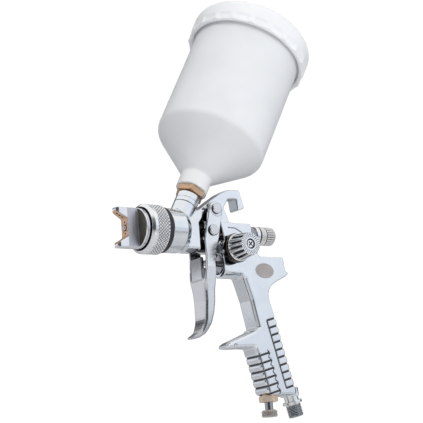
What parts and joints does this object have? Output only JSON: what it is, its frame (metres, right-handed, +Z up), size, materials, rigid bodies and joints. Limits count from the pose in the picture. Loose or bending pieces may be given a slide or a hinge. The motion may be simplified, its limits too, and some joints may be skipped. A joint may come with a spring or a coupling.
{
  "type": "hvlp spray gun",
  "caption": "Gravity-feed HVLP spray gun with tilted plastic cup, horned air cap, hanging hook, trigger and three adjusting knobs.",
  "frame": {"origin": "centre of the air inlet's open end, on the thread's axis", "axes": "+X spray direction, +Y the gun's left side, +Z up with the spray axis level"},
  "size_m": [0.2083, 0.1065, 0.3582],
  "materials": {
    "chrome_body": "satin chrome plate",
    "ring_chrome": "bright nickel plate",
    "bronze": "machined brass, plated outside",
    "brass": "machined",
    "steel": "turned",
    "dark_chrome": "dark chrome",
    "knob_steel": "knurled and brushed",
    "black_rubber": "matt",
    "anodised": "anodised",
    "white_seal": "PTFE",
    "cup_nylon": "milky translucent nylon",
    "strainer_nylon": "moulded nylon"
  },
  "bodies": {
    "gun": {"gun_body": "chrome_body", "fluid_nozzle": "steel", "air_distributor": "anodised", "head_gasket": "black_rubber", "inlet_adapter": "chrome_body", "needle_packing": "white_seal", "packing_nut": "dark_chrome", "pivot_pin": "chrome_body", "pivot_nut": "chrome_body", "fan_valve_bush": "brass", "air_valve_nut": "dark_chrome", "air_valve_packing": "white_seal", "air_valve_seat": "brass", "fluid_bush": "ring_chrome", "regulator_nut": "ring_chrome", "air_inlet": "ring_chrome", "spur_screw": "steel"},
    "cap_ring": {"cap_ring": "ring_chrome", "retaining_wire": "ring_chrome"},
    "air_cap": {"air_cap": "bronze"},
    "trigger": {"trigger": "chrome_body"},
    "needle_pin": {"needle_pin": "chrome_body", "needle_pin_nut": "chrome_body"},
    "needle": {"needle": "steel", "needle_collar": "brass", "needle_spring": "steel"},
    "air_valve": {"air_valve_stem": "steel", "air_valve_spring": "steel"},
    "fluid_knob": {"fluid_knob": "knob_steel"},
    "fan_knob": {"fan_knob": "dark_chrome", "fan_knob_screw": "steel", "fan_knob_seal": "black_rubber", "fan_valve_stem": "steel"},
    "regulator": {"regulator_stem": "steel", "regulator_knob": "knob_steel"},
    "cup": {"cup": "cup_nylon", "cup_nut": "brass", "cup_gasket": "white_seal", "paint_strainer": "strainer_nylon"},
    "lid": {"lid": "cup_nylon", "lid_gasket": "white_seal", "vent_plug": "black_rubber"}
  },
  "joints": [
    {"name": "ring_turn", "type": "hinge", "parent": "gun", "child": "cap_ring", "pos_m": [0.137, 0, 0.152], "axis": [1, 0, 0], "continuous": true},
    {"name": "air_cap_turn", "type": "hinge", "parent": "gun", "child": "air_cap", "pos_m": [0.141, 0, 0.152], "axis": [1, 0, 0], "continuous": true},
    {"name": "trigger_pull", "type": "hinge", "parent": "gun", "child": "trigger", "pos_m": [0.0766, 0, 0.1702], "axis": [0, 1, 0], "range_deg": [0, 14], "stiffness_Nm_per_rad": 3, "springref_deg": -8.59},
    {"name": "needle_pin_turn", "type": "hinge", "parent": "trigger", "child": "needle_pin", "pos_m": [0.0813, 0, 0.152], "axis": [0, 1, 0], "range_deg": [-15, 1]},
    {"name": "needle_slide", "type": "slide", "parent": "gun", "child": "needle", "axis": [-1, 0, 0], "range_m": [0, 0.0048], "deforming": ["needle_spring"]},
    {"name": "air_valve_slide", "type": "slide", "parent": "gun", "child": "air_valve", "axis": [-1, 0, 0], "range_m": [0, 0.0115], "deforming": ["air_valve_spring"]},
    {"name": "fluid_knob_turn", "type": "hinge", "parent": "gun", "child": "fluid_knob", "pos_m": [0.024, 0, 0.152], "axis": [-1, 0, 0], "range_deg": [-1440, 0]},
    {"name": "fan_knob_turn", "type": "hinge", "parent": "gun", "child": "fan_knob", "pos_m": [0.0605, 0.013, 0.1376], "axis": [0, 1, 0], "range_deg": [-540, 0]},
    {"name": "regulator_turn", "type": "hinge", "parent": "gun", "child": "regulator", "pos_m": [0.0283, 0, 0.006], "axis": [0, 0, -1], "range_deg": [-720, 0]},
    {"name": "cup_turn", "type": "hinge", "parent": "gun", "child": "cup", "pos_m": [0.09088, -0.00223, 0.18623], "axis": [-0.5142, -0.0558, 0.8558], "range_deg": [-1080, 0]},
    {"name": "lid_lift", "type": "slide", "parent": "cup", "child": "lid", "axis": [-0.5142, -0.0558, 0.8558], "range_m": [0, 0.04]}
  ],
  "couplings": [
    {"joint": "needle_pin_turn", "follows": "trigger_pull", "ratio": -1},
    {"joint": "needle_slide", "follows": "trigger_pull", "m_per_rad": 0.0186},
    {"joint": "air_valve_slide", "follows": "trigger_pull", "m_per_rad": 0.045}
  ]
}
